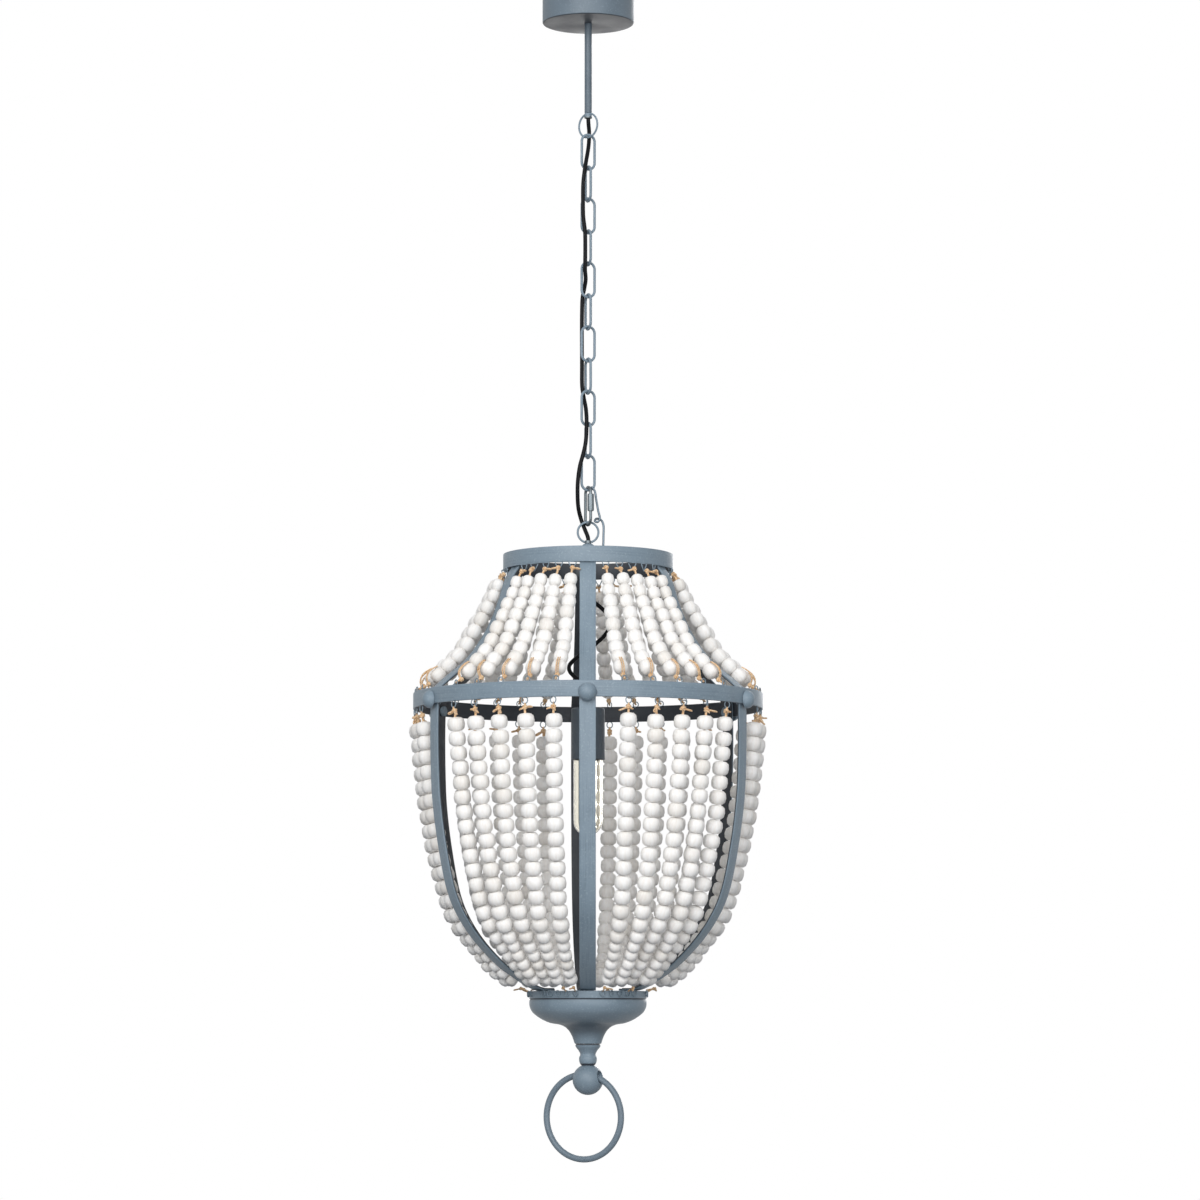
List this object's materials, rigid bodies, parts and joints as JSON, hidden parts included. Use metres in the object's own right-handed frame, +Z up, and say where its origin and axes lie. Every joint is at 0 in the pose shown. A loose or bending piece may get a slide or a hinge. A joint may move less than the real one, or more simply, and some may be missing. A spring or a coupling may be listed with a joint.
{
  "type": "beaded chandelier",
  "caption": "Beaded ceiling chandelier: strands of whitewashed wooden beads on a bent flat-bar cage, hung by a wire-link chain and a stem from a plain canopy, with a turned finial and ring.",
  "frame": {"origin": "middle of the ceiling bracket's top face, on the ceiling plane", "axes": "+Z up along the lamp's axis; the front rib of the cage faces -Y, and +X is to its right"},
  "size_m": [0.3575, 0.3667, 1.2007],
  "materials": {
    "blue_grey_paint": "chalky satin",
    "zinc_plate": "plated",
    "whitewashed_wood": "matt limewash",
    "jute_twine": "twisted natural fibre",
    "cord_jacket": "satin",
    "phenolic": "moulded",
    "clear_glass": "clear blown",
    "nickel": "plated",
    "steel_wire": "dull drawn wire"
  },
  "bodies": {
    "ceiling": {"ceiling_bracket": "zinc_plate", "stem": "blue_grey_paint", "stem_locknut": "zinc_plate", "stem_loop": "blue_grey_paint", "supply_cord": "cord_jacket"},
    "canopy": {"ceiling_canopy": "blue_grey_paint"},
    "link_01": {"chain_link_01": "blue_grey_paint"},
    "link_02": {"chain_link_02": "blue_grey_paint"},
    "link_03": {"chain_link_03": "blue_grey_paint"},
    "link_04": {"chain_link_04": "blue_grey_paint"},
    "link_05": {"chain_link_05": "blue_grey_paint"},
    "link_06": {"chain_link_06": "blue_grey_paint"},
    "link_07": {"chain_link_07": "blue_grey_paint"},
    "link_08": {"chain_link_08": "blue_grey_paint"},
    "link_09": {"chain_link_09": "blue_grey_paint"},
    "link_10": {"chain_link_10": "blue_grey_paint"},
    "link_11": {"chain_link_11": "blue_grey_paint"},
    "quick_link": {"quick_link": "zinc_plate"},
    "sleeve": {"quick_link_sleeve": "zinc_plate"},
    "cage": {"cage_loop": "blue_grey_paint", "top_band": "blue_grey_paint", "top_crossbar": "blue_grey_paint", "loop_nipple": "zinc_plate", "socket_hanger": "blue_grey_paint", "inner_flex": "cord_jacket", "socket_cup": "blue_grey_paint", "lamp_holder": "phenolic", "rib_1": "blue_grey_paint", "rib_2": "blue_grey_paint", "rib_3": "blue_grey_paint", "rib_4": "blue_grey_paint", "rib_5": "blue_grey_paint", "rib_6": "blue_grey_paint", "ball_rivet_1": "blue_grey_paint", "ball_rivet_2": "blue_grey_paint", "ball_rivet_3": "blue_grey_paint", "ball_rivet_4": "blue_grey_paint", "ball_rivet_5": "blue_grey_paint", "ball_rivet_6": "blue_grey_paint", "upper_strands_1": "whitewashed_wood", "upper_strands_2": "whitewashed_wood", "upper_strands_3": "whitewashed_wood", "upper_strands_4": "whitewashed_wood", "upper_strands_5": "whitewashed_wood", "upper_strands_6": "whitewashed_wood", "lower_strands_1": "whitewashed_wood", "lower_strands_2": "whitewashed_wood", "lower_strands_3": "whitewashed_wood", "lower_strands_4": "whitewashed_wood", "lower_strands_5": "whitewashed_wood", "lower_strands_6": "whitewashed_wood", "mid_hoop": "blue_grey_paint", "bottom_disc": "blue_grey_paint", "bottom_bowl": "blue_grey_paint", "neck_spindle": "blue_grey_paint", "finial_ball": "blue_grey_paint", "tie_rod": "zinc_plate"},
    "bulb": {"bulb_glass": "clear_glass", "bulb_cap": "nickel"},
    "finial_ring": {"finial_ring": "blue_grey_paint"}
  },
  "joints": [
    {"name": "canopy_slide", "type": "slide", "parent": "ceiling", "child": "canopy", "axis": [0, 0, 1], "range_m": [-0.06, 0]},
    {"name": "link_01_swing", "type": "hinge", "parent": "ceiling", "child": "link_01", "pos_m": [0, 0, -0.1674], "axis": [0.7547, -0.6561, 0], "range_deg": [-8, 8], "deforming": ["supply_cord"]},
    {"name": "link_02_swing", "type": "hinge", "parent": "link_01", "child": "link_02", "pos_m": [0, 0, -0.20035], "axis": [0.9272, 0.3746, 0], "range_deg": [-8, 8], "deforming": ["supply_cord"]},
    {"name": "link_03_swing", "type": "hinge", "parent": "link_02", "child": "link_03", "pos_m": [0, 0, -0.23315], "axis": [-0.3746, 0.9272, 0], "range_deg": [-8, 8], "deforming": ["supply_cord"]},
    {"name": "link_04_swing", "type": "hinge", "parent": "link_03", "child": "link_04", "pos_m": [0, 0, -0.26595], "axis": [0.9272, 0.3746, 0], "range_deg": [-8, 8], "deforming": ["supply_cord"]},
    {"name": "link_05_swing", "type": "hinge", "parent": "link_04", "child": "link_05", "pos_m": [0, 0, -0.29875], "axis": [-0.3746, 0.9272, 0], "range_deg": [-8, 8], "deforming": ["supply_cord"]},
    {"name": "link_06_swing", "type": "hinge", "parent": "link_05", "child": "link_06", "pos_m": [0, 0, -0.33155], "axis": [0.9272, 0.3746, 0], "range_deg": [-8, 8], "deforming": ["supply_cord"]},
    {"name": "link_07_swing", "type": "hinge", "parent": "link_06", "child": "link_07", "pos_m": [0, 0, -0.36435], "axis": [-0.3746, 0.9272, 0], "range_deg": [-8, 8], "deforming": ["supply_cord"]},
    {"name": "link_08_swing", "type": "hinge", "parent": "link_07", "child": "link_08", "pos_m": [0, 0, -0.39715], "axis": [0.9272, 0.3746, 0], "range_deg": [-8, 8], "deforming": ["supply_cord"]},
    {"name": "link_09_swing", "type": "hinge", "parent": "link_08", "child": "link_09", "pos_m": [0, 0, -0.42995], "axis": [-0.3746, 0.9272, 0], "range_deg": [-8, 8], "deforming": ["supply_cord"]},
    {"name": "link_10_swing", "type": "hinge", "parent": "link_09", "child": "link_10", "pos_m": [0, 0, -0.46275], "axis": [0.9272, 0.3746, 0], "range_deg": [-8, 8], "deforming": ["supply_cord"]},
    {"name": "link_11_swing", "type": "hinge", "parent": "link_10", "child": "link_11", "pos_m": [0, 0, -0.49555], "axis": [-0.3746, 0.9272, 0], "range_deg": [-8, 8], "deforming": ["supply_cord"]},
    {"name": "quick_link_swing", "type": "hinge", "parent": "link_11", "child": "quick_link", "pos_m": [0, 0, -0.52835], "axis": [0.9272, 0.3746, 0], "range_deg": [-8, 8], "deforming": ["supply_cord"]},
    {"name": "sleeve_travel", "type": "slide", "parent": "quick_link", "child": "sleeve", "axis": [0, 0, 1], "range_m": [-0.006, 0]},
    {"name": "cage_swing", "type": "hinge", "parent": "quick_link", "child": "cage", "pos_m": [0, 0, -0.5637], "axis": [-0.3746, 0.9272, 0], "range_deg": [-8, 8], "deforming": ["supply_cord"]},
    {"name": "bulb_unscrew", "type": "hinge", "parent": "cage", "child": "bulb", "pos_m": [0, 0, -0.785], "axis": [0, 0, 1], "range_deg": [-720, 0]},
    {"name": "finial_ring_swing", "type": "hinge", "parent": "cage", "child": "finial_ring", "pos_m": [0, 0, -1.114], "axis": [0.8771, -0.4664, -0.1149], "range_deg": [-125, 125]}
  ]
}
